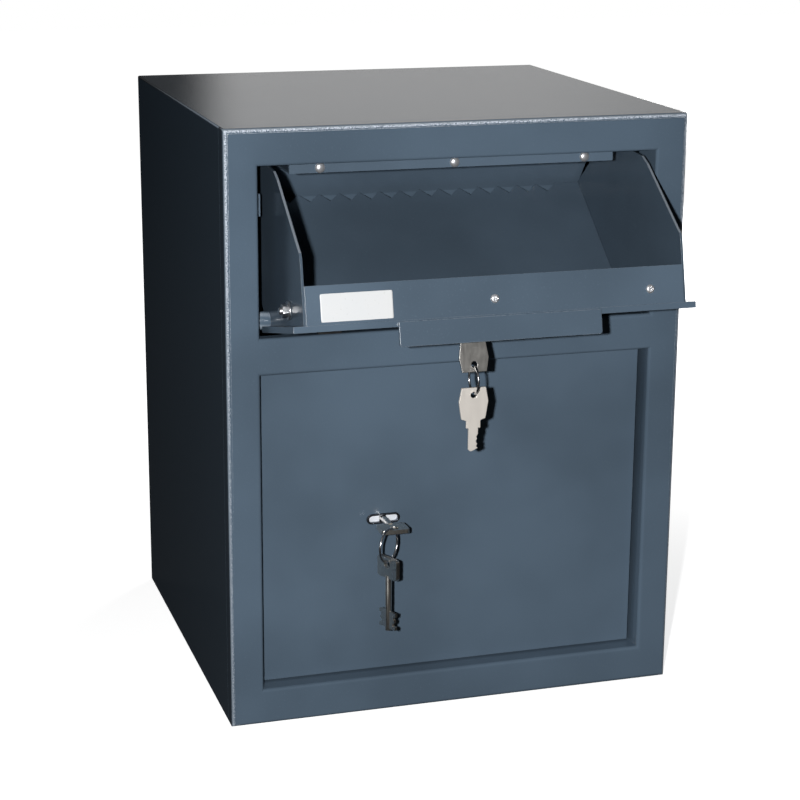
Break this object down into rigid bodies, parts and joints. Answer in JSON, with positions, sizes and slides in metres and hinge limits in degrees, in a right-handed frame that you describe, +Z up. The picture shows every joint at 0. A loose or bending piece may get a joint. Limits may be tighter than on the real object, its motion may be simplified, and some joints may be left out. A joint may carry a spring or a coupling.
{
  "type": "drop safe",
  "caption": "Steel drop safe with a tip-out deposit hopper behind a toothed anti-fishing edge and a recessed door with a double-bitted key lock.",
  "frame": {"origin": "middle of the case's base, on the plane it stands on", "axes": "+Z up, -Y out of the front with the hopper and the door, +X to the right seen from the front"},
  "size_m": [0.392, 0.471, 0.5],
  "materials": {
    "case_paint": "fine textured powder coat, satin",
    "hopper_paint": "satin powder coat",
    "inner_paint": "satin powder coat",
    "door_paint": "fine textured powder coat, satin",
    "zinc_steel": "zinc plated, semi bright",
    "bright_rivet": "bright",
    "lock_chrome": "polished plating",
    "nickel_key": "nickel plated, lightly worn",
    "ring_wire": "bright wire",
    "buffer_rubber": "matt",
    "label_film": "matt film"
  },
  "bodies": {
    "safe_case": {"case_wrap": "case_paint", "back_panel": "case_paint", "front_frame": "case_paint", "baffle_strip": "inner_paint", "upper_baffle": "inner_paint", "baffle_rivets": "bright_rivet", "hopper_stops": "inner_paint", "hopper_buffers": "buffer_rubber", "door_pivot_pins": "zinc_steel"},
    "hopper": {"hopper_plate": "hopper_paint", "handle_flange": "hopper_paint", "lip_strip": "hopper_paint", "lip_screws": "zinc_steel", "lip_nuts": "zinc_steel", "blank_label": "label_film", "left_cheek": "hopper_paint", "right_cheek": "hopper_paint", "tray_back": "hopper_paint", "tray_rivets": "bright_rivet", "cheek_angles": "inner_paint", "cheek_bolts": "zinc_steel", "cheek_nuts": "zinc_steel", "pivot_studs": "hopper_paint", "pivot_nuts": "zinc_steel", "cam_lock_body": "lock_chrome", "cam_lock_nut": "zinc_steel"},
    "cam": {"lock_plug": "lock_chrome", "lock_cam": "zinc_steel", "cam_screw": "zinc_steel", "cam_key": "nickel_key"},
    "latch": {"latch_bar": "zinc_steel"},
    "cam_ring": {"cam_key_ring": "ring_wire"},
    "cam_spare": {"cam_spare_key": "nickel_key"},
    "door": {"door_plate": "door_paint", "keyhole_insert": "lock_chrome", "hinge_blocks": "inner_paint", "dog_bars": "inner_paint", "door_stiffeners": "inner_paint", "lock_case": "zinc_steel", "lock_cover": "zinc_steel", "cover_screws": "zinc_steel", "lock_levers": "zinc_steel", "bolt_guides": "zinc_steel"},
    "bolt_work": {"lock_bolt": "zinc_steel", "locking_bolts": "zinc_steel", "bolt_carrier": "zinc_steel", "carrier_screws": "zinc_steel"},
    "door_key": {"safe_key": "nickel_key"},
    "door_ring": {"safe_key_ring": "ring_wire"},
    "door_spare": {"safe_spare_key": "nickel_key"}
  },
  "joints": [
    {"name": "hopper_tilt", "type": "hinge", "parent": "safe_case", "child": "hopper", "pos_m": [0, -0.1655, 0.3426], "axis": [-1, 0, 0], "range_deg": [0, 77.3]},
    {"name": "cam_turn", "type": "hinge", "parent": "hopper", "child": "cam", "pos_m": [-0.0165, -0.25661, 0.36313], "axis": [0, 0.2198, 0.9755], "range_deg": [0, 95]},
    {"name": "latch_slide", "type": "slide", "parent": "hopper", "child": "latch", "axis": [1, 0, 0], "range_m": [0, 0.018]},
    {"name": "cam_ring_swing", "type": "hinge", "parent": "cam", "child": "cam_ring", "pos_m": [-0.0165, -0.26607, 0.32119], "axis": [1, 0, 0], "range_deg": [-30, 5]},
    {"name": "cam_spare_swing", "type": "hinge", "parent": "cam_ring", "child": "cam_spare", "pos_m": [-0.0165, -0.26607, 0.29654], "axis": [0, 1, 0], "range_deg": [-60, 60]},
    {"name": "door_swing", "type": "hinge", "parent": "safe_case", "child": "door", "pos_m": [0.142, -0.1585, 0.16625], "axis": [0, 0, 1], "range_deg": [0, 86]},
    {"name": "door_key_turn", "type": "hinge", "parent": "door", "child": "door_key", "pos_m": [-0.0603, -0.185, 0.16625], "axis": [0, 1, 0], "range_deg": [0, 190]},
    {"name": "bolt_slide", "type": "slide", "parent": "door", "child": "bolt_work", "axis": [-1, 0, 0], "range_m": [0, 0.014]},
    {"name": "door_ring_swing", "type": "hinge", "parent": "door_key", "child": "door_ring", "pos_m": [-0.0603, -0.199, 0.16625], "axis": [-0.682, 0.7314, 0], "range_deg": [-1, 30]},
    {"name": "door_spare_swing", "type": "hinge", "parent": "door_ring", "child": "door_spare", "pos_m": [-0.06688, -0.20514, 0.13962], "axis": [-0.7314, -0.682, 0], "range_deg": [-40, 40]}
  ],
  "couplings": [
    {"joint": "cam_turn", "follows": "latch_slide", "rad_per_m": 87.266},
    {"joint": "door_key_turn", "follows": "bolt_slide", "rad_per_m": 224.4}
  ]
}
